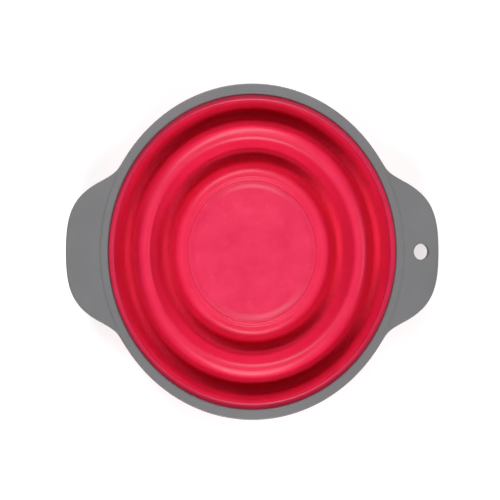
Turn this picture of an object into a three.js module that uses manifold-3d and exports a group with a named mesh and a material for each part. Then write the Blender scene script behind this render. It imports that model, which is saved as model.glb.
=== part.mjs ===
// Collapsible bowl: a stiff rim frame with two grip handles, and a soft bowl hung in it that folds flat.
// It is drawn folded, on its foot and the bottoms of its folds. Millimetres, +Z up, handles along X.

import * as THREE from 'three';
import { mergeVertices } from 'three/addons/utils/BufferGeometryUtils.js';
import Module from 'manifold-3d';

const wasm = await Module();
wasm.setup();

// Plan sizes. The bowl is an oval, and each ring's size is taken on its long half, along Y.
const bowlLength = 219; // rim, front to back
const bowlAcross = 199.6; // rim, side to side: the same as bowlLength makes the bowl round
const overallLength = 242.8; // over both handles
const rimLand = 6.6; // flat top of the frame
const seamWidth = 0.5; // open seam between the frame and the bead
const beadWidth = 3.6;
const upperFoldWidth = 16.6; // groove between the bead and the ridge
const ridgeWidth = 9.7;
const lowerFoldWidth = 17.7; // groove between the ridge and the floor
const floorBand = 8.7; // soft collar around the floor disc

// Heights of the folded bowl.
const foldedHeight = 28;
const beadDrop = 3.6; // tops of the bead, ridge and floor below the frame's top
const ridgeDrop = 2.2;
const floorDrop = 10;
const floorDish = 0.8; // fall of the collar towards the disc
const footDepth = 18; // foot's underside below the floor, level with the folds' bottoms

// Soft walls.
const wallThickness = 2.0; // stiff walls, which keep their shape
const webThickness = 1.3; // webs that turn inside out
const upperWebReach = 10.6; // from the fold's bottom to the ridge
const lowerWebReach = 9.2; // from the fold's bottom to the floor
const foldRound = 1.8; // inside radius at the bottom of a fold
const standWidth = 1.6; // flat under each fold, where the folded bowl stands
const lipDepth = 3.6; // rounded edge that a web hangs from
const lipRound = 2.2;
const ridgeThickness = 2.6;

// Floor.
const discThickness = 1.8;
const ledgeWidth = 4; // collar's ledge under the disc
const footWidth = 5;
const footFlare = 2; // foot wider at its top
const collarThickness = 2.6;

// Frame.
const plateThickness = 2.4;
const edgeRound = 1.0;
const skirtDepth = 7.5; // from the frame's top
const skirtThickness = 2.0;
const frameWall = 2.0; // wall between the land and the tongue
const tongueDepth = 6.3; // top of the tongue below the frame's top
const tongueThickness = 1.6;
const tongueReach = 2.4; // into the bead
const gripLip = 1.8; // bead's lip under the tongue
const clearance = 0.3;

// Handles.
const handleSpan = 90.8; // between the shoulders
const handleStep = 0.5; // handle's top below the land
const shoulderStandOff = 8.9; // shoulder outside the rim
const shoulderAngle = THREE.MathUtils.degToRad(28.6);
const filletLength = 20.4; // along Y, from the shoulder to the rim
const gripFullness = 23.2; // lengths of the outline's curve handles
const cornerFullness = 20.6;
const filletFullness = 16.7;
const ribCount = 3;
const ribSpacing = 24;
const ribThickness = 1.6;
const ribDepth = 6; // from the frame's top
const hangHole = 10.6;
const hangHoleInset = 11.3; // hole's centre from the handle's edge
const bossWall = 2.0;

// Facets.
const turnSegments = 60;
const foldSteps = 2;
const edgeSteps = 2;
const outlineSteps = 9;
const weldDistance = 1e-4;

const oval = bowlAcross / bowlLength;
const rimOuter = bowlLength / 2;
const frameInner = rimOuter - rimLand;
const beadOuter = frameInner - seamWidth;
const beadInner = beadOuter - beadWidth;
const ridgeOuter = beadInner - upperFoldWidth;
const ridgeInner = ridgeOuter - ridgeWidth;
const floorOuter = ridgeInner - lowerFoldWidth;
const discRadius = floorOuter - floorBand;
const upperBottom = ridgeOuter + upperWebReach;
const lowerBottom = floorOuter + lowerWebReach;
const frameTop = foldedHeight;
const beadTop = frameTop - beadDrop;
const ridgeTop = frameTop - ridgeDrop;
const floorTop = frameTop - floorDrop;
const handleTop = frameTop - handleStep;
const skirtBottom = frameTop - skirtDepth;
const tongueTop = frameTop - tongueDepth;
const tongueBottom = tongueTop - tongueThickness;
const tongueInner = frameInner - tongueReach;

const greyPlastic = { color: 0x7f7e81, roughness: 0.4, metalness: 0 };
const redRubber = { color: 0xe22a50, roughness: 0.45, metalness: 0 };

const at = (x, y) => new THREE.Vector2(x, y);

// A profile in radius and height, turned about Z and narrowed to the bowl's oval.
function turned(profile) {
  const geometry = new THREE.LatheGeometry(profile, turnSegments);
  geometry.rotateX(Math.PI / 2);
  geometry.scale(oval, 1, 1);
  return geometry;
}

function ring(profile) {
  return turned([...profile, profile[0]]);
}

function plug(radius, low, high) {
  return turned([at(0, low), at(radius, low), at(radius, high), at(0, high)]);
}

function raised(shape, low, high, bevel = 0) {
  const geometry = new THREE.ExtrudeGeometry(shape, {
    depth: high - low - 2 * bevel,
    bevelEnabled: bevel > 0,
    bevelSize: bevel,
    bevelOffset: -bevel,
    bevelThickness: bevel,
    bevelSegments: edgeSteps,
  });
  geometry.translate(0, 0, low + bevel);
  return geometry;
}

function toSolid(geometry) {
  const bare = geometry.index ? geometry.toNonIndexed() : geometry.clone();
  bare.deleteAttribute('normal');
  bare.deleteAttribute('uv');
  const merged = mergeVertices(bare, weldDistance);
  return new wasm.Manifold(new wasm.Mesh({
    numProp: 3,
    vertProperties: merged.attributes.position.array,
    triVerts: new Uint32Array(merged.index.array),
  }));
}

function toGeometry(solid) {
  const mesh = solid.getMesh();
  const geometry = new THREE.BufferGeometry();
  geometry.setAttribute('position', new THREE.BufferAttribute(mesh.vertProperties, 3));
  geometry.setIndex(new THREE.BufferAttribute(mesh.triVerts, 1));
  geometry.computeVertexNormals();
  return geometry;
}

// A line moved to its left, point by point.
function movedLeft(points, distance) {
  return points.map((point, i) => {
    const before = points[Math.max(i - 1, 0)];
    const after = points[Math.min(i + 1, points.length - 1)];
    const along = after.clone().sub(before).normalize();
    return at(point.x - along.y * distance, point.y + along.x * distance);
  });
}

// The stiff outer side of a fold: a straight wall that rounds into a flat bottom.
function wallLine(topRadius, topHeight, bottomRadius) {
  const centre = at(bottomRadius + standWidth, wallThickness + foldRound);
  const reach = at(topRadius, topHeight).sub(centre);
  const touch = Math.atan2(reach.y, reach.x) - Math.acos(foldRound / reach.length());
  const line = new THREE.Path();
  line.moveTo(topRadius, topHeight);
  line.lineTo(centre.x + foldRound * Math.cos(touch), centre.y + foldRound * Math.sin(touch));
  line.absarc(centre.x, centre.y, foldRound, touch, -Math.PI / 2, true);
  line.lineTo(bottomRadius, wallThickness);
  return line.getPoints(foldSteps);
}

// The thin inner side of a fold, from the fold's bottom up to the lip that it hangs from.
function webLine(bottomRadius, topRadius, topHeight) {
  const centre = at(bottomRadius - clearance, wallThickness + foldRound);
  const reach = at(topRadius, topHeight).sub(centre);
  const touch = Math.atan2(reach.y, reach.x) + Math.acos(foldRound / reach.length());
  const line = new THREE.Path();
  line.moveTo(centre.x, wallThickness);
  line.absarc(centre.x, centre.y, foldRound, -Math.PI / 2, touch - 2 * Math.PI, true);
  line.lineTo(topRadius, topHeight);
  return line.getPoints(foldSteps);
}

function foldWeb(bottomRadius, topRadius, lipTop) {
  const face = webLine(bottomRadius, topRadius, lipTop - lipDepth - clearance);
  return ring([...face, ...movedLeft(face, webThickness).reverse()]);
}

// A wall's face, its back up to a height, and what closes the profile above that.
function hungWall(edge, face, backTop, closing) {
  const back = movedLeft(face, wallThickness).reverse();
  return ring([...edge, ...face.slice(1), ...back.filter((point) => point.y < backTop), ...closing]);
}

// The bead grips the frame's tongue in a groove, and the upper wall hangs below it.
function rimWall() {
  const shoulder = beadTop - lipRound;
  const edge = new THREE.Path();
  edge.moveTo(beadOuter, tongueTop + clearance);
  edge.lineTo(beadOuter, shoulder);
  edge.quadraticCurveTo(beadOuter, beadTop, beadOuter - beadWidth / 2, beadTop);
  edge.quadraticCurveTo(beadInner, beadTop, beadInner, shoulder);
  const face = wallLine(beadInner, shoulder, upperBottom);
  const grooveInner = tongueInner - clearance;
  const lipTop = tongueBottom - clearance;
  const backTop = lipTop - 2 * gripLip;
  return hungWall(edge.getPoints(edgeSteps), face, backTop, [
    at(grooveInner, backTop),
    at(beadOuter, lipTop - gripLip),
    at(beadOuter, lipTop),
    at(grooveInner, lipTop),
    at(grooveInner, tongueTop + clearance),
  ]);
}

// The flat ridge between the folds, with the lower wall hanging from its inner edge.
function middleRing() {
  const shoulder = ridgeTop - lipRound;
  const edge = new THREE.Path();
  edge.moveTo(ridgeOuter, ridgeTop - lipDepth);
  edge.lineTo(ridgeOuter, shoulder);
  edge.quadraticCurveTo(ridgeOuter, ridgeTop, ridgeOuter - lipRound, ridgeTop);
  edge.lineTo(ridgeInner + lipRound, ridgeTop);
  edge.quadraticCurveTo(ridgeInner, ridgeTop, ridgeInner, shoulder);
  const face = wallLine(ridgeInner, shoulder, lowerBottom);
  const underside = ridgeTop - ridgeThickness;
  return hungWall(edge.getPoints(edgeSteps), face, underside - lipRound, [
    at(ridgeInner + wallThickness, underside),
    at(ridgeOuter - webThickness, underside),
    at(ridgeOuter - webThickness, ridgeTop - lipDepth),
  ]);
}

// The soft collar around the floor: a rebate for the disc, and a foot for the opened bowl.
function baseCollar() {
  const discTop = floorTop - floorDish;
  const ledge = discTop - discThickness - clearance;
  const rebate = discRadius + clearance;
  const footBottom = floorTop - footDepth;
  const footInner = discRadius - ledgeWidth;
  const footOuter = footInner + footWidth;
  const underside = floorTop - collarThickness;
  const edge = new THREE.Path();
  edge.moveTo(floorOuter, floorTop - lipDepth);
  edge.lineTo(floorOuter, floorTop - lipRound);
  edge.quadraticCurveTo(floorOuter, floorTop, floorOuter - lipRound, floorTop);
  return ring([
    ...edge.getPoints(edgeSteps),
    at(rebate, discTop),
    at(rebate, ledge),
    at(footInner, ledge),
    at(footInner, footBottom),
    at(footOuter, footBottom),
    at(footOuter + footFlare, underside - floorDish),
    at(floorOuter - webThickness, underside),
    at(floorOuter - webThickness, floorTop - lipDepth),
  ]);
}

function baseDisc() {
  const top = floorTop - floorDish;
  return plug(discRadius, top - discThickness, top);
}

// The rim's section: a land on two walls, with the tongue that carries the bowl under the inner one.
function rimSection() {
  const wallOuter = frameInner + frameWall;
  const skirtInner = rimOuter - skirtThickness;
  const underside = frameTop - plateThickness;
  const edge = new THREE.Path();
  edge.moveTo(rimOuter, skirtBottom);
  edge.lineTo(rimOuter, frameTop - edgeRound);
  edge.quadraticCurveTo(rimOuter, frameTop, rimOuter - edgeRound, frameTop);
  edge.lineTo(frameInner + edgeRound, frameTop);
  edge.quadraticCurveTo(frameInner, frameTop, frameInner, frameTop - edgeRound);
  edge.lineTo(frameInner, tongueTop);
  return ring([
    ...edge.getPoints(edgeSteps),
    at(tongueInner, tongueTop),
    at(tongueInner, tongueBottom),
    at(wallOuter, tongueBottom),
    at(wallOuter, underside),
    at(skirtInner, underside),
    at(skirtInner, skirtBottom),
  ]);
}

// Half of a handle's edge, from its tip to where its fillet meets the rim.
function halfGrip() {
  const halfAcross = bowlAcross / 2;
  const rimX = (y) => halfAcross * Math.sqrt(1 - (y / rimOuter) ** 2);
  const tip = at(overallLength / 2, 0);
  const shoulderY = handleSpan / 2;
  const shoulder = at(rimX(shoulderY) + shoulderStandOff, shoulderY);
  const fall = at(-Math.cos(shoulderAngle), Math.sin(shoulderAngle));
  const rootY = shoulderY + filletLength;
  const root = at(rimX(rootY), rootY);
  const rootAngle = Math.asin(rootY / rimOuter);
  const rimRun = at(-halfAcross * Math.sin(rootAngle), rimOuter * Math.cos(rootAngle)).normalize();
  const half = new THREE.Path();
  half.moveTo(tip.x, tip.y);
  half.bezierCurveTo(
    tip.x, gripFullness,
    shoulder.x - cornerFullness * fall.x, shoulder.y - cornerFullness * fall.y,
    shoulder.x, shoulder.y,
  );
  half.bezierCurveTo(
    shoulder.x + filletFullness * fall.x, shoulder.y + filletFullness * fall.y,
    root.x - filletFullness * rimRun.x, root.y - filletFullness * rimRun.y,
    root.x, root.y,
  );
  return half.getPoints(outlineSteps);
}

// A handle's plan, drawn in by an inset and closed on the bowl's middle line.
function gripShape(inset) {
  const upper = halfGrip();
  const lower = upper.slice(1).map((point) => at(point.x, -point.y)).reverse();
  const edge = movedLeft([...lower, ...upper], inset);
  return new THREE.Shape([at(0, edge[0].y), ...edge, at(0, edge.at(-1).y)]);
}

// A handle: a block hollowed from below, with ribs across the hollow, cut to fit round the rim.
function handle(withinRim) {
  const block = toSolid(raised(gripShape(0), skirtBottom, handleTop, edgeRound));
  const hollowTop = handleTop - plateThickness;
  const hollow = toSolid(raised(gripShape(skirtThickness), skirtBottom - skirtDepth, hollowTop));
  const ribTop = hollowTop + plateThickness / 2;
  const ribPlan = toSolid(raised(gripShape(skirtThickness / 2), frameTop - ribDepth, ribTop));
  let grip = block.subtract(hollow);
  for (let i = 0; i < ribCount; i += 1) {
    const bar = new THREE.BoxGeometry(overallLength, ribThickness, 2 * ribDepth);
    bar.translate(0, (i - (ribCount - 1) / 2) * ribSpacing, frameTop - ribDepth);
    grip = grip.add(ribPlan.intersect(toSolid(bar)));
  }
  return grip.subtract(withinRim);
}

// The rim with both handles, and a hanging hole with its boss in one of them.
function rimFrame() {
  const skirtMiddle = rimOuter - skirtThickness / 2;
  const withinRim = toSolid(plug(skirtMiddle, skirtBottom - skirtDepth, frameTop + skirtDepth));
  const grip = handle(withinRim);
  const holeX = overallLength / 2 - hangHoleInset;
  const holeRadius = hangHole / 2;
  const boss = plug(holeRadius + bossWall, skirtBottom, handleTop - edgeRound).translate(holeX, 0, 0);
  const bore = turned([
    at(0, skirtBottom - edgeRound),
    at(holeRadius, skirtBottom - edgeRound),
    at(holeRadius, handleTop - edgeRound),
    at(holeRadius + 2 * edgeRound, handleTop + edgeRound),
    at(0, handleTop + edgeRound),
  ]).translate(holeX, 0, 0);
  const holed = grip.add(toSolid(boss)).subtract(toSolid(bore));
  return toGeometry(toSolid(rimSection()).add(holed).add(grip.rotate([0, 0, 180])));
}

const bowl = new THREE.Group();

function addPiece(name, geometry, finish) {
  const piece = new THREE.Mesh(geometry, new THREE.MeshStandardMaterial(finish));
  piece.name = name;
  bowl.add(piece);
}

addPiece('rim_frame', rimFrame(), greyPlastic);
addPiece('rim_wall', rimWall(), redRubber);
addPiece('upper_fold', foldWeb(upperBottom, ridgeOuter, ridgeTop), redRubber);
addPiece('middle_ring', middleRing(), redRubber);
addPiece('lower_fold', foldWeb(lowerBottom, floorOuter, floorTop), redRubber);
addPiece('base_collar', baseCollar(), redRubber);
addPiece('base_disc', baseDisc(), redRubber);

export default bowl;
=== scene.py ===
import math

import bmesh
import bpy
import numpy as np
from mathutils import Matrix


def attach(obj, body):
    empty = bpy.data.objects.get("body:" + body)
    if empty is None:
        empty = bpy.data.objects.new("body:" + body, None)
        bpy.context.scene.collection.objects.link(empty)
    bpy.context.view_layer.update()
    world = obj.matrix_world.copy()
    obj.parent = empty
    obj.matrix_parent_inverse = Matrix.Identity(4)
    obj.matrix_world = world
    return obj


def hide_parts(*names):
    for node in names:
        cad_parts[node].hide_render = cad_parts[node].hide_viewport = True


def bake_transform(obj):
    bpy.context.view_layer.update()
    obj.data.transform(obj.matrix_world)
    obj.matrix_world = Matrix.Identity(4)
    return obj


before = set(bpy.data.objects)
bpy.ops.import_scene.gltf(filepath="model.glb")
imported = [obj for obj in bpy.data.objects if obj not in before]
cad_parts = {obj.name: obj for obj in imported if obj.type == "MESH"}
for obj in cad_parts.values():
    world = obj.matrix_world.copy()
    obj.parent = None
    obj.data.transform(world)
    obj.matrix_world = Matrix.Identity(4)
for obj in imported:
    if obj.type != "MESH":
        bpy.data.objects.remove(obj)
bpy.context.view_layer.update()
scene = bpy.context.scene
scene.view_settings.view_transform = "Standard"
mm = 0.001

# plan of the bowl: every ring is the same oval, sized on its long half (Y), in mm
plan = {
    "rimOuter": 109.5,
    "oval": 199.6 / 219,
    "turns": 288,
    "sharp": 40,
}


def roundedLine(corners, fine=0.22, coarse=1.2, fewest=4):
    # corners are (radius, height, rounding); the first and last stay where they are
    points = [np.array(c[:2], float) for c in corners]
    line = [points[0]]
    for i in range(1, len(points) - 1):
        here, rounding = points[i], corners[i][2]
        back = points[i - 1] - here
        ahead = points[i + 1] - here
        back /= np.linalg.norm(back)
        ahead /= np.linalg.norm(ahead)
        opening = math.acos(max(-1.0, min(1.0, float(back @ ahead))))
        turn = math.pi - opening
        if rounding <= 0 or turn < 1e-3:
            line.append(here)
            continue
        reach = rounding * math.tan(turn / 2)
        inwards = (back + ahead) / np.linalg.norm(back + ahead)
        middle = here + inwards * (rounding / math.cos(turn / 2))
        first = here + back * reach - middle
        side = 1 if back[0] * ahead[1] - back[1] * ahead[0] < 0 else -1
        steps = max(fewest, int(rounding * turn / fine))
        for k in range(steps + 1):
            a = side * turn * k / steps
            line.append(middle + np.array([
                first[0] * math.cos(a) - first[1] * math.sin(a),
                first[0] * math.sin(a) + first[1] * math.cos(a),
            ]))
    line.append(points[-1])
    filled = [line[0]]
    for p, q in zip(line, line[1:]):
        count = max(1, int(np.linalg.norm(q - p) / coarse))
        filled += [p + (q - p) * (k + 1) / count for k in range(count)]
    return filled


def backOf(face, thickness):
    # the face moved to its left by a thickness that may change with height
    back = []
    for i, p in enumerate(face):
        along = face[min(i + 1, len(face) - 1)] - face[max(i - 1, 0)]
        along /= np.linalg.norm(along)
        t = thickness(p[1])
        back.append(p + np.array([-along[1], along[0]]) * t)
    return back


def ease(x, low, high):
    t = max(0.0, min(1.0, (x - low) / (high - low)))
    return t * t * (3 - 2 * t)


def newTree(name, sockets):
    tree = bpy.data.node_groups.new(name, "GeometryNodeTree")
    tree.is_modifier = True
    keys = {}
    for label, kind in sockets:
        keys[label] = tree.interface.new_socket(label, in_out="INPUT", socket_type=kind).identifier
    tree.interface.new_socket("Geometry", in_out="OUTPUT", socket_type="NodeSocketGeometry")
    return tree, keys


def runTree(name, tree, keys, values, base=None):
    # the tree's result as a plain mesh in a new object at the origin
    obj = bpy.data.objects.new(name, base or bpy.data.meshes.new(name))
    scene.collection.objects.link(obj)
    mod = obj.modifiers.new("shape", "NODES")
    mod.node_group = tree
    for label, value in values.items():
        mod[keys[label]] = value
    graph = bpy.context.evaluated_depsgraph_get()
    mesh = bpy.data.meshes.new_from_object(obj.evaluated_get(graph), depsgraph=graph)
    obj.modifiers.remove(mod)
    obj.data = mesh
    mesh.name = name
    return obj


def outwards(obj, join=1e-7):
    work = bmesh.new()
    work.from_mesh(obj.data)
    bmesh.ops.remove_doubles(work, verts=work.verts, dist=join)
    bmesh.ops.recalc_face_normals(work, faces=work.faces)
    work.to_mesh(obj.data)
    work.free()


def smooth(obj, degrees):
    obj.data.shade_smooth()
    obj.data.set_sharp_from_angle(angle=math.radians(degrees))


def link(tree, a, b):
    tree.links.new(a, b)


def node(tree, kind, **settings):
    made = tree.nodes.new(kind)
    for key, value in settings.items():
        setattr(made, key, value)
    return made


def mapRange(tree, value, span, target):
    made = node(tree, "ShaderNodeMapRange")
    for label, end in zip(("From Min", "From Max", "To Min", "To Max"), (*span, *target)):
        made.inputs[label].default_value = end
    link(tree, value, made.inputs["Value"])
    return made.outputs["Result"]


skinSizes = ("Cloud Size", "Grain Size", "Speck Size", "Speck Share")
skinTexture = {
    "cloudDetail": 5,
    "cloudRoughness": 0.62,
    "cloudSpan": (0.3, 0.7),  # where most of the noise's values lie
    "grainDetail": 2,
    "grainDepth": 0.1 * mm,
}


def mouldedSkin():
    # cloudy tone, small specks and a fine grain, shared by the soft rubber and the plastic
    tree = bpy.data.node_groups.new("mouldedSkin", "ShaderNodeTree")
    face = tree.interface
    for label in skinSizes:
        face.new_socket(label, in_out="INPUT", socket_type="NodeSocketFloat")
    for label in ("Cloud", "Speck", "Grain"):
        face.new_socket(label, in_out="OUTPUT", socket_type="NodeSocketFloat")
    source = node(tree, "NodeGroupInput")
    result = node(tree, "NodeGroupOutput")
    place = node(tree, "ShaderNodeTexCoord")
    cloud = node(tree, "ShaderNodeTexNoise", noise_dimensions="3D")
    cloud.inputs["Detail"].default_value = skinTexture["cloudDetail"]
    cloud.inputs["Roughness"].default_value = skinTexture["cloudRoughness"]
    grain = node(tree, "ShaderNodeTexNoise", noise_dimensions="3D")
    grain.inputs["Detail"].default_value = skinTexture["grainDetail"]
    cells = node(tree, "ShaderNodeTexVoronoi", feature="F1")
    speck = node(tree, "ShaderNodeMath", operation="LESS_THAN")
    for texture, size in ((cloud, "Cloud Size"), (grain, "Grain Size"), (cells, "Speck Size")):
        link(tree, place.outputs["Object"], texture.inputs["Vector"])
        link(tree, source.outputs[size], texture.inputs["Scale"])
    link(tree, cells.outputs["Distance"], speck.inputs[0])
    link(tree, source.outputs["Speck Share"], speck.inputs[1])
    link(tree, cloud.outputs["Fac"], result.inputs["Cloud"])
    link(tree, speck.outputs[0], result.inputs["Speck"])
    link(tree, grain.outputs["Fac"], result.inputs["Grain"])
    return tree


skinGroup = mouldedSkin()


def skinMaterial(name, look):
    mat = bpy.data.materials.new(name)
    mat.use_nodes = True
    tree = mat.node_tree
    shader = tree.nodes["Principled BSDF"]
    skin = node(tree, "ShaderNodeGroup", node_tree=skinGroup)
    for label in skinSizes:
        skin.inputs[label].default_value = look[label]
    cloud, span = skin.outputs["Cloud"], skinTexture["cloudSpan"]
    colour = node(tree, "ShaderNodeMix", data_type="RGBA")
    colour.inputs["A"].default_value = (*look["dark"], 1)
    colour.inputs["B"].default_value = (*look["light"], 1)
    link(tree, mapRange(tree, cloud, span, (0, 1)), colour.inputs["Factor"])
    tint = colour.outputs["Result"]
    gloss = mapRange(tree, cloud, span, look["rough"])
    if "paintedBeadShade" in look:  # painted shade: the bead's top is darkened beside the frame
        paintedBeadShade = node(tree, "ShaderNodeAttribute", attribute_name="paintedBeadShade")
        deeper = node(tree, "ShaderNodeMix", data_type="RGBA", blend_type="MULTIPLY")
        deeper.inputs["B"].default_value = (*look["paintedBeadShade"], 1)
        link(tree, paintedBeadShade.outputs["Fac"], deeper.inputs["Factor"])
        link(tree, tint, deeper.inputs["A"])
        tint = deeper.outputs["Result"]
    if "dull" in look:  # no gloss where the rubber bends
        flexed = node(tree, "ShaderNodeAttribute", attribute_name="flexed")
        dull = node(tree, "ShaderNodeMix", data_type="FLOAT")
        dull.inputs["B"].default_value = look["dull"]
        link(tree, flexed.outputs["Fac"], dull.inputs["Factor"])
        link(tree, gloss, dull.inputs["A"])
        gloss = dull.outputs["Result"]
    dusted = node(tree, "ShaderNodeMix", data_type="RGBA")
    dusted.inputs["B"].default_value = (*look["speck"], 1)
    link(tree, skin.outputs["Speck"], dusted.inputs["Factor"])
    link(tree, tint, dusted.inputs["A"])
    link(tree, dusted.outputs["Result"], shader.inputs["Base Color"])
    link(tree, gloss, shader.inputs["Roughness"])
    bump = node(tree, "ShaderNodeBump")
    bump.inputs["Strength"].default_value = look["grain"]
    bump.inputs["Distance"].default_value = skinTexture["grainDepth"]
    link(tree, skin.outputs["Grain"], bump.inputs["Height"])
    link(tree, bump.outputs["Normal"], shader.inputs["Normal"])
    shader.inputs["Specular IOR Level"].default_value = look["specular"]
    return mat


redRubber = skinMaterial("redRubber", {
    "dark": (0.74, 0.014, 0.063),
    "light": (0.80, 0.018, 0.076),
    "speck": (0.82, 0.05, 0.11),
    # painted shade on the bead's top beside the frame, multiplied into the colour
    "paintedBeadShade": (0.78, 0.85, 0.85),
    "Cloud Size": 45.0,
    "Grain Size": 900.0,
    "Speck Size": 240.0,
    "Speck Share": 0.05,
    "rough": (0.36, 0.46),
    "dull": 1.0,
    "grain": 0.25,
    "specular": 0.4,
})
redFloor = skinMaterial("redFloor", {
    "dark": (0.70, 0.021, 0.077),
    "light": (0.78, 0.028, 0.096),
    "speck": (0.80, 0.08, 0.15),
    "Cloud Size": 60.0,
    "Grain Size": 700.0,
    "Speck Size": 200.0,
    "Speck Share": 0.07,
    "rough": (0.30, 0.44),
    "grain": 0.35,
    "specular": 0.42,
})
greyPlastic = skinMaterial("greyPlastic", {
    "dark": (0.160, 0.157, 0.162),
    "light": (0.176, 0.173, 0.178),
    "speck": (0.204, 0.201, 0.206),
    "Cloud Size": 30.0,
    "Grain Size": 1400.0,
    "Speck Size": 420.0,
    "Speck Share": 0.05,
    "rough": (0.47, 0.55),
    "grain": 0.2,
    "specular": 0.42,
})
print("materials made")

guideRadius = 1.0  # of the circle that the bands are swept round, in m


def turnedBandTree():
    tree, keys = newTree("turnedBand", [
        ("Profile", "NodeSocketObject"),
        ("Turns", "NodeSocketInt"),
        ("Oval", "NodeSocketFloat"),
        ("Finish", "NodeSocketMaterial"),
    ])
    source = node(tree, "NodeGroupInput")
    result = node(tree, "NodeGroupOutput")
    drawn = node(tree, "GeometryNodeObjectInfo", transform_space="ORIGINAL")
    path = node(tree, "GeometryNodeCurvePrimitiveCircle", mode="RADIUS")
    path.inputs["Radius"].default_value = guideRadius
    upright = node(tree, "GeometryNodeSetCurveNormal", mode="Z_UP")
    sweep = node(tree, "GeometryNodeCurveToMesh")
    squeeze = node(tree, "GeometryNodeTransform")
    scale = node(tree, "ShaderNodeCombineXYZ")
    scale.inputs["Y"].default_value = 1.0
    scale.inputs["Z"].default_value = 1.0
    real = node(tree, "GeometryNodeRealizeInstances")
    finish = node(tree, "GeometryNodeSetMaterial")
    link(tree, source.outputs["Profile"], drawn.inputs["Object"])
    link(tree, source.outputs["Turns"], path.inputs["Resolution"])
    link(tree, path.outputs["Curve"], upright.inputs["Curve"])
    link(tree, upright.outputs["Curve"], sweep.inputs["Curve"])
    link(tree, drawn.outputs["Geometry"], sweep.inputs["Profile Curve"])
    link(tree, source.outputs["Oval"], scale.inputs["X"])
    link(tree, sweep.outputs["Mesh"], squeeze.inputs["Geometry"])
    link(tree, scale.outputs["Vector"], squeeze.inputs["Scale"])
    link(tree, squeeze.outputs["Geometry"], real.inputs["Geometry"])
    link(tree, real.outputs["Geometry"], finish.inputs["Geometry"])
    link(tree, source.outputs["Finish"], finish.inputs["Material"])
    link(tree, finish.outputs["Geometry"], result.inputs["Geometry"])
    return tree, keys


bandTree, bandKeys = turnedBandTree()


def turnedBand(name, profile, finish):
    # the profile is drawn from the guide circle, and the sweep turns its Y over
    curve = bpy.data.curves.new(name + "Profile", "CURVE")
    curve.dimensions = "3D"
    spline = curve.splines.new("POLY")
    spline.points.add(len(profile) - 1)
    for point, (radius, height) in zip(spline.points, profile):
        point.co = (radius * mm - guideRadius, -height * mm, 0, 1)
    spline.use_cyclic_u = True
    drawn = bpy.data.objects.new(name + "Profile", curve)
    scene.collection.objects.link(drawn)
    obj = runTree(name, bandTree, bandKeys, {
        "Profile": drawn,
        "Turns": plan["turns"],
        "Oval": plan["oval"],
        "Finish": finish,
    })
    bpy.data.objects.remove(drawn)
    bpy.data.curves.remove(curve)
    outwards(obj)
    smooth(obj, plan["sharp"])
    return obj


# the folded bands meet at the bottoms of the two folds, where they thin to a hinge, in mm
folds = {
    "hinge": 0.5,
    "upperJoin": 92.3,
    "upperBottom": 0.5,
    "upperRound": 2.4,
    "lowerJoin": 64.3,
    "lowerBottom": 1.6,
    "lowerRound": 2.4,
    "upperCorner": 1.96,  # from the join to the wall's corner
    "lowerCorner": 1.78,
    "upperBend": 8.0,  # height under which the wall turns when the bowl opens
    "lowerBend": 9.0,
    "hingeTurn": 0.2437,  # share of a blend that lies before its hinge
    "flexed": (7.0, 2.4),  # heights over the bottom where the dull rubber starts and is full
}
lipFit = 0.999  # keeps a lip's rounding inside its corner


def tapered(face, full, low, high):
    # a sheet behind the face that thickens from the hinge to its full thickness
    hinge = folds["hinge"]
    return backOf(face, lambda z: hinge + (full - hinge) * ease(z, low, high))


rimWallSize = {
    "thickness": 2.0,
    "fullAt": 9.0,
    "beadTop": 24.4,
    "beadOuter": 103.0,
    "beadInner": 99.2,
    "beadRound": (0.4, 1.6),
    "paintedBeadShade": (3.4, 1.2),  # depths under the bead's top where the painted shade starts and is full
    "grooveIn": 100.2,
    "groove": (19.8, 22.0),
    "lip": 1.8,
    "lipHeel": 0.4,
    "lipNose": (0.3, 0.2, 0.1),  # inset, below and above
    "lipEdge": 0.2,
}


def rimWallProfile():
    w = rimWallSize
    corner = folds["upperJoin"] + folds["upperCorner"]
    face = roundedLine([
        (w["beadOuter"], w["groove"][1], 0),
        (w["beadOuter"], w["beadTop"], w["beadRound"][0]),
        (w["beadInner"], w["beadTop"], w["beadRound"][1]),
        (corner, folds["upperBottom"], folds["upperRound"]),
        (folds["upperJoin"], folds["upperBottom"], 0),
    ])
    back = tapered(face, w["thickness"], folds["upperBottom"], w["fullAt"])
    gripEnd = w["groove"][0] - w["lip"]
    back = [p for p in back[::-1] if p[1] < gripEnd - w["lip"] and p[0] < w["grooveIn"]]
    noseIn, noseLow, noseHigh = w["lipNose"]
    grip = [
        (w["grooveIn"], gripEnd - w["lip"] + w["lipHeel"]),
        (w["beadOuter"] - noseIn, gripEnd - noseLow),
        (w["beadOuter"], gripEnd + noseHigh),
        (w["beadOuter"], w["groove"][0] - w["lipEdge"]),
        (w["beadOuter"] - w["lipEdge"], w["groove"][0]),
        (w["grooveIn"], w["groove"][0]),
        (w["grooveIn"], w["groove"][1]),
    ]
    return face + back + [np.array(p) for p in grip]


def lipPoint(lip, degrees):
    # the point of a rounded lip where it has turned down by so many degrees
    turn = math.radians(degrees)
    out, down = math.sin(turn), 1 - math.cos(turn)
    return np.array([lip["start"] + lip["round"] * out, lip["top"] - lip["round"] * down])


def lipCorner(lip, lean=0.0):
    # the corner that the band's half of the lip rounds off; the band's face may lean away from it
    half = math.radians(lip["split"]) / 2
    reach = lip["round"] * math.tan(half)
    return (lip["start"] + reach, lip["top"], lipFit * reach / math.tan(half + lean / 2))


def lipUnder(lip, thickness):
    # the lip's lower corner at the split
    turn = math.radians(lip["split"])
    end = lipPoint(lip, lip["split"])
    return (end[0] - thickness * math.sin(turn), end[1] - thickness * math.cos(turn), 0)


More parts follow.
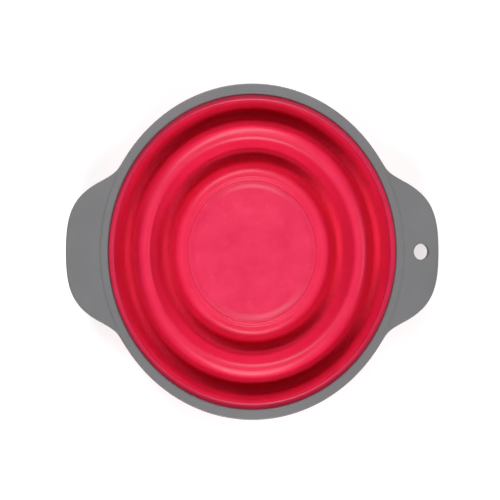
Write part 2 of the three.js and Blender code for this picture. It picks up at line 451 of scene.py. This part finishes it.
# each lip belongs to its band as far as the split, and from there to the web that hangs from it
upperLip = {"start": 77.06, "round": 5.6, "top": 25.8, "split": 40.0, "slope": 69.0}
lowerLip = {"start": 51.2, "round": 5.5, "top": 18.0, "split": 40.0, "slope": 63.5}
webSize = {"thickness": 1.3, "fullAt": 7.0}
ridgeSize = {
    "inner": (73.7, 3.6),  # corner and its rounding
    "plate": 2.6,
    "thickness": 2.0,
    "fullAt": 8.0,
    "wallEnd": (74.0, 20.6),  # where the wall's back gives way to the underside
    "under": (76.2, 77.8),
    "underRound": (1.6, 1.4),
}


def middleRingProfile():
    top, inner = upperLip["top"], ridgeSize["inner"]
    low = top - ridgeSize["plate"]
    endOut, endHigh = ridgeSize["wallEnd"]
    face = roundedLine([
        (*lipPoint(upperLip, upperLip["split"]), 0),
        lipCorner(upperLip),
        (inner[0], top, inner[1]),
        (folds["lowerJoin"] + folds["lowerCorner"], folds["lowerBottom"], folds["lowerRound"]),
        (folds["lowerJoin"], folds["lowerBottom"], 0),
    ])
    back = tapered(face, ridgeSize["thickness"], folds["lowerBottom"], ridgeSize["fullAt"])
    back = [p for p in back[::-1] if p[0] < endOut and p[1] < endHigh]
    under = roundedLine([
        (*back[-1], 0),
        *((r, low, rounding) for r, rounding in zip(ridgeSize["under"], ridgeSize["underRound"])),
        lipUnder(upperLip, webSize["thickness"]),
    ])
    return face + back[:-1] + under


def webProfile(lip, join, bottom, rounding):
    # from the fold's bottom up its slope and over the outer half of the lip
    split, slope = math.radians(lip["split"]), math.radians(lip["slope"])
    end = lipPoint(lip, lip["split"])
    reach = lip["round"] * math.tan((slope - split) / 2)
    bend = end + reach * np.array([math.cos(split), -math.sin(split)])
    corner = bend[0] + (bend[1] - bottom) / math.tan(slope)
    face = roundedLine([
        (join, bottom, 0),
        (corner, bottom, rounding),
        (*bend, lip["round"] * lipFit),
        (*end, 0),
    ])
    return face + tapered(face, webSize["thickness"], bottom, webSize["fullAt"])[::-1]


floorSize = {
    "foot": (42.0, 47.0),  # inside and outside
    "footRound": (1.0, 1.4),
    "ledge": 15.1,
    "ledgeRound": (0.3, 0.6),
    "edgeRound": 0.2,
    "fall": 0.5,  # of the border, towards the disc
    "lines": (49.3, 47.9),
    "line": (0.35, 0.14),  # half width and depth
    "lineRound": 0.1,
    "heel": (49.0, 14.4, 1.6),  # radius, height and rounding
    "shoulder": (51.6, 14.9, 0.5),
    "fine": 0.15,
}
discSize = {
    "radius": 46.4,
    "top": 17.5,
    "dish": 1.3,
    "dishWidth": 5.4,
    "dishSteps": 12,
    "thickness": 1.0,
    "gap": 0.12,
    "lowEdge": 0.3,
    "highEdge": (0.2, 0.06),  # size and nick of the rounding
    "rings": (30, 24, 18, 12, 6, 1.5),
    "underRings": (10, 30),
    "middle": 0.02,
}


def collarProfile():
    top, ledge = lowerLip["top"], floorSize["ledge"]
    rebate = discSize["radius"] + discSize["gap"]
    inner, outer = floorSize["foot"]
    across = lipCorner(lowerLip)[0] - rebate
    lip = lipCorner(lowerLip, math.atan(floorSize["fall"] / across))

    def level(r):
        return top - floorSize["fall"] * (lip[0] - r) / across

    half, deep = floorSize["line"]
    lines = []
    for r in floorSize["lines"]:  # fine turned lines in the floor's border
        for side, depth in ((half, 0), (0, deep), (-half, 0)):
            lines.append((r + side, level(r + side) - depth, floorSize["lineRound"]))
    return roundedLine([
        (*lipPoint(lowerLip, lowerLip["split"]), 0),
        lip,
        *lines,
        (rebate, level(rebate), floorSize["edgeRound"]),
        (rebate, ledge, floorSize["ledgeRound"][0]),
        (inner, ledge, floorSize["ledgeRound"][1]),
        (inner, 0.0, floorSize["footRound"][0]),
        (outer, 0.0, floorSize["footRound"][1]),
        floorSize["heel"],
        floorSize["shoulder"],
        lipUnder(lowerLip, webSize["thickness"]),
    ], fine=floorSize["fine"])


def discProfile():
    radius, top, dish = discSize["radius"], discSize["top"], discSize["dish"]
    low = top - dish
    under = low - discSize["thickness"]
    chamfer, (edge, nick) = discSize["lowEdge"], discSize["highEdge"]
    face = [
        (radius - chamfer, under),
        (radius, under + chamfer),
        (radius, top - edge),
        (radius - nick, top - nick),
    ]
    for t in np.linspace(0, 1, discSize["dishSteps"] + 1):
        face.append((radius - edge - discSize["dishWidth"] * t, top - dish * ease(t, 0, 1)))
    face += [(r, low) for r in (*discSize["rings"], discSize["middle"])]
    face += [(r, under) for r in (discSize["middle"], *discSize["underRings"])]
    return [np.array(p) for p in face]


rimWall = turnedBand("rimWallBand", rimWallProfile(), redRubber)
upperFold = turnedBand("upperFoldWeb", webProfile(
    upperLip, folds["upperJoin"], folds["upperBottom"], folds["upperRound"]), redRubber)
middleRing = turnedBand("middleRingBand", middleRingProfile(), redRubber)
lowerFold = turnedBand("lowerFoldWeb", webProfile(
    lowerLip, folds["lowerJoin"], folds["lowerBottom"], folds["lowerRound"]), redRubber)
baseCollar = turnedBand("baseCollarBand", collarProfile(), redRubber)
baseDisc = turnedBand("baseDiscPlate", discProfile(), redFloor)


def shadeAlong(obj, label, zero, one):
    # an attribute that grows from one height to another, in mm
    grown = [ease(v.co.z / mm, zero, one) for v in obj.data.vertices]
    obj.data.attributes.new(label, "FLOAT", "POINT").data.foreach_set("value", grown)


# painted shade that darkens the bead's top beside the frame, growing towards the top
shadeAlong(rimWall, "paintedBeadShade", *(rimWallSize["beadTop"] - depth for depth in rimWallSize["paintedBeadShade"]))
for band, bottom in (
    (rimWall, folds["upperBottom"]),
    (upperFold, folds["upperBottom"]),
    (middleRing, folds["lowerBottom"]),
    (lowerFold, folds["lowerBottom"]),
):
    shadeAlong(band, "flexed", *(bottom + height for height in folds["flexed"]))
print("soft bands turned")


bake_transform(rimWall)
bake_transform(upperFold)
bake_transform(middleRing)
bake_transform(lowerFold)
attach(baseCollar, "base")
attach(baseDisc, "base")
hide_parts("rim_wall")
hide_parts("upper_fold")
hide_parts("middle_ring")
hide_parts("lower_fold")
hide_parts("base_collar")
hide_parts("base_disc")


# rim frame: one moulding lofted round the rim and out over both handles, in mm
frameSize = {
    "inner": 103.1,
    "tongueIn": 100.5,
    "tongue": (20.1, 21.7),
    "top": 28.0,
    "step": 0.5,
    "stepFrom": 2.0,
    "stepTo": 0.4,
    "stepGrows": 4.0,  # reach of the handle over which the step comes in
    "stepGap": 0.1,
    "landGap": 0.2,
    "edge": 1.0,
    "innerEdge": 0.9,
    "roundSteps": 8,
    "topShares": (0.04, 0.3, 0.65, 0.96),
    "bottom": 20.5,
    "lowEdge": ((0.05, 0.7), (0.15, 0.25), (0.4, 0.05), (0.7, 0.0)),  # inset and rise
    "skirt": 2.0,
    "plate": 2.4,
    "wall": 2.0,
    "points": 720,
    "sharp": 32,
}
gripSize = {
    "length": 242.8,
    "span": 90.8,
    "standOff": 8.9,
    "fall": math.radians(28.6),
    "fillet": 20.4,
    "fullness": (23.2, 20.6, 16.7),
    "pocketSweep": (40, 161),  # degrees each way and steps
    "pocketLeast": 0.4,
    "hole": 10.6,
    "holeInset": 11.3,
    "mouth": (0.55, 0.45, 0.1),  # chamfer out, down and up past the face
    "boss": 2.0,
    "bossSink": 1.0,
    "cutPast": 2.0,
    "ribs": (-24.0, 0.0, 24.0),
    "ribThickness": 1.6,
    "ribDepth": 6.0,
    "ribLap": 0.6,
    "ribRound": (0.22, 4),  # share of the rib and steps
    "ribSweep": (60, 2401),
}
holeX = gripSize["length"] / 2 - gripSize["holeInset"]


def bezier(a, b, c, d, steps=60):
    t = np.linspace(0, 1, steps)[:, None]
    return (1 - t) ** 3 * a + 3 * t * (1 - t) ** 2 * b + 3 * t * t * (1 - t) * c + t ** 3 * d


def ovalRadius(angles, size):
    return size / np.sqrt((np.cos(angles) / plan["oval"]) ** 2 + np.sin(angles) ** 2)


def quarterEdge(rimSteps=80):
    # one quarter of the frame's outer edge, from the handle's tip round to the back
    long = plan["rimOuter"]
    short = long * plan["oval"]
    first, second, third = gripSize["fullness"]

    def rimX(y):
        return short * math.sqrt(1 - (y / long) ** 2)

    tip = np.array([gripSize["length"] / 2, 0.0])
    shoulderY = gripSize["span"] / 2
    shoulder = np.array([rimX(shoulderY) + gripSize["standOff"], shoulderY])
    fall = np.array([-math.cos(gripSize["fall"]), math.sin(gripSize["fall"])])
    rootY = shoulderY + gripSize["fillet"]
    root = np.array([rimX(rootY), rootY])
    turn = math.asin(rootY / long)
    run = np.array([-short * math.sin(turn), long * math.cos(turn)])
    run /= np.linalg.norm(run)
    grip = bezier(tip, tip + (0, first), shoulder - second * fall, shoulder)
    fillet = bezier(shoulder, shoulder + third * fall, root - third * run, root)
    t = np.linspace(turn, math.pi / 2, rimSteps)
    rim = np.stack([short * np.cos(t), long * np.sin(t)], 1)
    return np.concatenate([grip, fillet[1:], rim[1:]])


def wholeEdge():
    quarter = quarterEdge()
    upper = np.concatenate([quarter, quarter[-2::-1] * (-1, 1)])
    return np.concatenate([upper, upper[-2:0:-1] * (1, -1)])


edgePoints = wholeEdge()
edgeRun = np.roll(edgePoints, -1, 0) - np.roll(edgePoints, 1, 0)
edgeRun /= np.linalg.norm(edgeRun, axis=1)[:, None]
edgeOut = np.stack([edgeRun[:, 1], -edgeRun[:, 0]], 1)
angles = np.linspace(0, 2 * math.pi, frameSize["points"], endpoint=False)


def edgeRadius(inset, at=angles):
    # distance from the middle to the outer edge, drawn in by an inset
    drawn = edgePoints - edgeOut * inset
    turned = np.unwrap(np.arctan2(drawn[:, 1], drawn[:, 0]))
    far = np.hypot(drawn[:, 0], drawn[:, 1])
    return np.interp(at, turned, far, period=2 * math.pi)


def frameRings():
    f = frameSize
    flat = np.ones(len(angles))
    land = plan["rimOuter"] - f["stepFrom"]
    reach = edgeRadius(0) - ovalRadius(angles, plan["rimOuter"])
    onGrip = np.clip(reach / f["stepGrows"], 0, 1)
    drop = f["step"] * onGrip * onGrip * (3 - 2 * onGrip)
    upper = f["top"] - drop
    stepStart = ovalRadius(angles, land)
    room = edgeRadius(f["edge"]) - stepStart - f["stepGap"]
    stepEnd = stepStart + np.clip(room, 0, f["stepFrom"] - f["stepTo"])
    steps = np.linspace(0, 1, f["roundSteps"] + 1)
    rings = [
        (ovalRadius(angles, f["tongueIn"]), f["tongue"][0] * flat),
        (ovalRadius(angles, f["tongueIn"]), f["tongue"][1] * flat),
        (ovalRadius(angles, f["inner"]), f["tongue"][1] * flat),
    ]
    for a in steps * math.pi / 2:
        inset, fall = f["innerEdge"] * (1 - math.cos(a)), f["innerEdge"] * (1 - math.sin(a))
        rings.append((ovalRadius(angles, f["inner"] + inset), (f["top"] - fall) * flat))
    for size in (f["inner"] + f["innerEdge"] + f["landGap"], land - f["landGap"]):
        rings.append((ovalRadius(angles, size), f["top"] * flat))
    for t in steps:
        rings.append((stepStart + (stepEnd - stepStart) * t, f["top"] - drop * ease(t, 0, 1)))
    span = edgeRadius(f["edge"]) - stepEnd
    for t in f["topShares"]:
        rings.append((stepEnd + span * t, upper))
    for a in steps * math.pi / 2:
        inset, fall = f["edge"] * (1 - math.sin(a)), f["edge"] * (1 - math.cos(a))
        rings.append((edgeRadius(inset), upper - fall))
    low = f["bottom"]
    for inset, rise in f["lowEdge"]:
        rings.append((edgeRadius(inset), (low + rise) * flat))
    skirtIn = ovalRadius(angles, plan["rimOuter"] - f["skirt"])
    wallOut = ovalRadius(angles, f["inner"] + f["wall"])
    under = f["top"] - f["plate"]
    return rings + [
        (skirtIn, low * flat),
        (skirtIn, under * flat),
        (wallOut, under * flat),
        (wallOut, f["tongue"][0] * flat),
    ]


def meshFrom(name, points, faces, finish):
    mesh = bpy.data.meshes.new(name)
    mesh.from_pydata([tuple(p) for p in points], [], faces)
    mesh.materials.append(finish)
    obj = bpy.data.objects.new(name, mesh)
    scene.collection.objects.link(obj)
    outwards(obj)
    return obj


def quadsBetween(i, j, count):
    # faces between two rings of points
    faces = []
    for k in range(count):
        m = (k + 1) % count
        faces.append((i * count + k, i * count + m, j * count + m, j * count + k))
    return faces


def loftedFrame():
    rings = frameRings()
    points, faces = [], []
    for i, (radius, height) in enumerate(rings):
        points += list(np.stack([radius * np.cos(angles), radius * np.sin(angles), height], 1) * mm)
        faces += quadsBetween(i, (i + 1) % len(rings), len(angles))
    return meshFrom("rimFrameMoulding", points, faces, greyPlastic)


def stacked(name, levels):
    # a closed solid through outlines at rising heights
    count, last = len(levels[0][0]), len(levels) - 1
    points = [(x * mm, y * mm, z * mm) for outline, z in levels for x, y in outline]
    faces = [tuple(range(count))[::-1], tuple(range(last * count, (last + 1) * count))]
    for i in range(last):
        faces += quadsBetween(i, i + 1, count)
    return meshFrom(name, points, faces, greyPlastic)


def combine(obj, tool, operation):
    mod = obj.modifiers.new("cut", "BOOLEAN")
    mod.operation = operation
    mod.solver = "EXACT"
    mod.object = tool
    graph = bpy.context.evaluated_depsgraph_get()
    mesh = bpy.data.meshes.new_from_object(obj.evaluated_get(graph), depsgraph=graph)
    obj.modifiers.remove(mod)
    obj.data = mesh
    bpy.data.objects.remove(tool)


def handleEdges(sweep):
    # angles across a handle, with the distances to the rim's edge and to the inside of the skirt
    turn, steps = sweep
    near = np.radians(np.linspace(-turn, turn, steps))
    return near, ovalRadius(near, plan["rimOuter"]), edgeRadius(frameSize["skirt"], near)


def pocketOutline(side):
    # the hollow under a handle, between its skirt and the rim's
    near, inner, outer = handleEdges(gripSize["pocketSweep"])
    hollow = outer > inner + gripSize["pocketLeast"]
    near, inner, outer = near[hollow], inner[hollow], outer[hollow]
    ring = [(r * math.cos(a), r * math.sin(a)) for r, a in zip(outer, near)]
    ring += [(r * math.cos(a), r * math.sin(a)) for r, a in zip(inner[::-1], near[::-1])]
    return [(side * x, side * y) for x, y in ring]


def ovalOutline(radius, count=96):
    turns = [2 * math.pi * k / count for k in range(count)]
    return [(holeX + radius * plan["oval"] * math.cos(a), radius * math.sin(a)) for a in turns]


rimFrame = loftedFrame()
gripTop = frameSize["top"] - frameSize["step"]
for side in (1, -1):
    pocket = pocketOutline(side)
    combine(rimFrame, stacked("pocket", [
        (pocket, frameSize["bottom"] - gripSize["cutPast"]),
        (pocket, gripTop - frameSize["plate"]),
    ]), "DIFFERENCE")
boss = ovalOutline(gripSize["hole"] / 2 + gripSize["boss"])
combine(rimFrame, stacked("boss", [
    (boss, frameSize["bottom"]),
    (boss, gripTop - gripSize["bossSink"]),
]), "UNION")


def boreTool():
    # the hanging hole, with a small chamfer at its mouth
    radius = gripSize["hole"] / 2
    out, down, past = gripSize["mouth"]
    narrow, wide = ovalOutline(radius), ovalOutline(radius + out)
    return stacked("bore", [
        (narrow, frameSize["bottom"] - gripSize["cutPast"]),
        (narrow, gripTop - down),
        (wide, gripTop + past),
        (wide, gripTop + gripSize["cutPast"]),
    ])


combine(rimFrame, boreTool(), "DIFFERENCE")
outwards(rimFrame)
smooth(rimFrame, frameSize["sharp"])
rimFrame.data.name = "rimFrameMoulding"
print("rim frame lofted,", len(rimFrame.data.polygons), "faces")


def ribTree():
    tree, keys = newTree("gripRibs", [
        ("Geometry", "NodeSocketGeometry"),
        ("Rib", "NodeSocketObject"),
        ("Finish", "NodeSocketMaterial"),
    ])
    source = node(tree, "NodeGroupInput")
    result = node(tree, "NodeGroupOutput")
    shape = node(tree, "GeometryNodeObjectInfo", transform_space="ORIGINAL")
    spans = node(tree, "GeometryNodeInputNamedAttribute", data_type="FLOAT_VECTOR")
    spans.inputs["Name"].default_value = "span"
    placed = node(tree, "GeometryNodeInstanceOnPoints")
    real = node(tree, "GeometryNodeRealizeInstances")
    finish = node(tree, "GeometryNodeSetMaterial")
    link(tree, source.outputs["Geometry"], placed.inputs["Points"])
    link(tree, source.outputs["Rib"], shape.inputs["Object"])
    link(tree, shape.outputs["Geometry"], placed.inputs["Instance"])
    link(tree, spans.outputs["Attribute"], placed.inputs["Scale"])
    link(tree, placed.outputs["Instances"], real.inputs["Geometry"])
    link(tree, real.outputs["Geometry"], finish.inputs["Geometry"])
    link(tree, source.outputs["Finish"], finish.inputs["Material"])
    link(tree, finish.outputs["Geometry"], result.inputs["Geometry"])
    return tree, keys


def ribShape():
    # a bar one unit long, rounded along its lower edge
    work = bmesh.new()
    bmesh.ops.create_cube(work, size=1)
    rounding, steps = gripSize["ribRound"]
    ends = [(e, e.verts[0].co, e.verts[1].co) for e in work.edges]
    low = [e for e, a, b in ends if a.x * b.x < 0 and a.z < 0]  # runs along the bar, underneath
    bmesh.ops.bevel(work, geom=low, offset=rounding, segments=steps, affect="EDGES", profile=0.5)
    mesh = bpy.data.meshes.new("ribShape")
    work.to_mesh(mesh)
    work.free()
    obj = bpy.data.objects.new("ribShape", mesh)
    scene.collection.objects.link(obj)
    return obj


def ribSpans():
    # each rib runs from the rim's skirt to the handle's; the middle one stops at the hole's boss
    near, rims, edges = handleEdges(gripSize["ribSweep"])
    lap = gripSize["ribLap"]
    spans = []
    for side in (1, -1):
        for y in gripSize["ribs"]:
            start = float(np.interp(y, rims * np.sin(near), rims * np.cos(near))) - lap
            end = float(np.interp(y, edges * np.sin(near), edges * np.cos(near))) + lap
            if side > 0 and y == 0:
                wall = (gripSize["hole"] / 2 + gripSize["boss"] / 2) * plan["oval"]
                spans += [(start, holeX - wall, y), (holeX + wall, end, y)]
            else:
                spans.append((side * start, side * end, side * y))
    return spans


def gripRibs():
    low = frameSize["top"] - gripSize["ribDepth"]
    high = gripTop - frameSize["plate"] + gripSize["ribLap"]
    points, sizes = [], []
    for start, end, y in ribSpans():
        points.append(((start + end) / 2 * mm, y * mm, (low + high) / 2 * mm))
        sizes += [abs(end - start) * mm, gripSize["ribThickness"] * mm, (high - low) * mm]
    base = bpy.data.meshes.new("ribPlaces")
    base.from_pydata(points, [], [])
    base.attributes.new("span", "FLOAT_VECTOR", "POINT").data.foreach_set("vector", sizes)
    shape = ribShape()
    tree, keys = ribTree()
    obj = runTree("gripRibs", tree, keys, {"Rib": shape, "Finish": greyPlastic}, base)
    bpy.data.objects.remove(shape)
    outwards(obj)
    smooth(obj, frameSize["sharp"])
    return obj


ribs = gripRibs()
for piece in (rimFrame, ribs):
    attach(piece, "rim")
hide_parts("rim_frame")
print("handle ribs set")

# stage, in m: a white floor that keeps the shadow, a low and a high softbox at the back and the front,
# a weak one overhead, a fill at one side, and one below for the views of the underside
stageSize = {
    "cameraHeight": 0.728,
    "cameraShift": (-0.0014, 0.00114),
    "view": 0.325,
    "sensor": 36.0,  # mm
    "nearest": 0.01,
    "floor": 6.0,
    "floorLow": -0.0004,
    "floorShade": 0.8,
    "glow": 0.4,
    "glowFade": (0.4, 1.2),  # distances between which the floor fades to white
    "sky": 0.02,
    "shine": 0.15,
    "lampFar": 1.1,
}
lamps = {
    "backLow": {"az": 0.0, "el": 20.0, "size": (0.6, 0.22), "watts": 5.6},
    "backHigh": {"az": -18.0, "el": 46.0, "size": (0.6, 0.3), "watts": 5.8},
    "overBack": {"az": 0.0, "el": 70.0, "size": (0.6, 0.22), "watts": 1.0},
    "frontLow": {"az": 180.0, "el": 20.0, "size": (0.6, 0.22), "watts": 6.7},
    "frontHigh": {"az": 184.0, "el": 47.0, "size": (0.6, 0.3), "watts": 5.8},
    "side": {"az": 90.0, "el": 20.0, "size": (0.6, 0.22), "watts": 2.0},
    "under": {"az": 150.0, "el": -62.0, "size": (0.8, 0.8), "watts": 4.0},
}


def addCamera():
    data = bpy.data.cameras.new("camera")
    data.sensor_width = stageSize["sensor"]
    drop = stageSize["cameraHeight"] - frameSize["top"] * mm
    data.lens = stageSize["sensor"] * drop / stageSize["view"]
    data.clip_start = stageSize["nearest"]
    obj = bpy.data.objects.new("camera", data)
    obj.location = (*stageSize["cameraShift"], stageSize["cameraHeight"])
    scene.collection.objects.link(obj)
    scene.camera = obj


def addLamp(name, lamp):
    data = bpy.data.lights.new(name, "AREA")
    data.shape = "RECTANGLE"
    data.size, data.size_y = lamp["size"]
    data.energy = lamp["watts"]
    obj = bpy.data.objects.new(name, data)
    az, el = math.radians(lamp["az"]), math.radians(lamp["el"])
    far = stageSize["lampFar"]
    across = far * math.cos(el)
    obj.location = (across * math.sin(az), across * math.cos(az), far * math.sin(el))
    obj.rotation_euler = obj.location.to_track_quat("Z", "Y").to_euler()
    obj.visible_camera = False
    scene.collection.objects.link(obj)


def addFloor():
    half, low = stageSize["floor"] / 2, stageSize["floorLow"]
    corners = [(x * half, y * half, low) for x, y in ((-1, -1), (1, -1), (1, 1), (-1, 1))]
    mesh = bpy.data.meshes.new("floor")
    mesh.from_pydata(corners, [], [(0, 1, 2, 3)])
    mat = bpy.data.materials.new("paleFloor")
    mat.use_nodes = True
    tree = mat.node_tree
    tree.nodes.clear()
    out = node(tree, "ShaderNodeOutputMaterial")
    matte = node(tree, "ShaderNodeBsdfDiffuse")
    shade = stageSize["floorShade"]
    matte.inputs["Color"].default_value = (shade, shade, shade, 1)
    glow = node(tree, "ShaderNodeEmission")
    glow.inputs["Color"].default_value = (1, 1, 1, 1)
    place = node(tree, "ShaderNodeTexCoord")
    far = node(tree, "ShaderNodeVectorMath", operation="LENGTH")
    link(tree, place.outputs["Object"], far.inputs[0])
    fade = mapRange(tree, far.outputs["Value"], stageSize["glowFade"], (stageSize["glow"], 1))
    link(tree, fade, glow.inputs["Strength"])
    both = node(tree, "ShaderNodeAddShader")
    ray = node(tree, "ShaderNodeLightPath")
    choose = node(tree, "ShaderNodeMixShader")
    clear = node(tree, "ShaderNodeBsdfTransparent")
    under = node(tree, "ShaderNodeNewGeometry")
    sides = node(tree, "ShaderNodeMixShader")
    link(tree, matte.outputs[0], both.inputs[0])
    link(tree, glow.outputs[0], both.inputs[1])
    link(tree, ray.outputs["Is Camera Ray"], choose.inputs["Fac"])
    link(tree, matte.outputs[0], choose.inputs[1])
    link(tree, both.outputs[0], choose.inputs[2])
    # seen and lit through from below
    through = node(tree, "ShaderNodeMath", operation="MAXIMUM")
    link(tree, under.outputs["Backfacing"], through.inputs[0])
    link(tree, ray.outputs["Is Shadow Ray"], through.inputs[1])
    link(tree, through.outputs[0], sides.inputs["Fac"])
    link(tree, choose.outputs[0], sides.inputs[1])
    link(tree, clear.outputs[0], sides.inputs[2])
    link(tree, sides.outputs[0], out.inputs["Surface"])
    mesh.materials.append(mat)
    obj = bpy.data.objects.new("floor", mesh)
    scene.collection.objects.link(obj)


def addSky():
    # white to the camera, softer in reflections, dim as a light
    world = bpy.data.worlds.new("studio")
    world.use_nodes = True
    tree = world.node_tree
    back = tree.nodes["Background"]
    back.inputs["Color"].default_value = (1, 1, 1, 1)
    ray = node(tree, "ShaderNodeLightPath")
    shine = mapRange(tree, ray.outputs["Is Glossy Ray"], (0, 1), (stageSize["sky"], stageSize["shine"]))
    seen = node(tree, "ShaderNodeMath", operation="MAXIMUM")
    link(tree, shine, seen.inputs[0])
    link(tree, ray.outputs["Is Camera Ray"], seen.inputs[1])
    link(tree, seen.outputs[0], back.inputs["Strength"])
    scene.world = world


addCamera()
for name, lamp in lamps.items():
    addLamp(name, lamp)
addFloor()
addSky()
print("stage set")
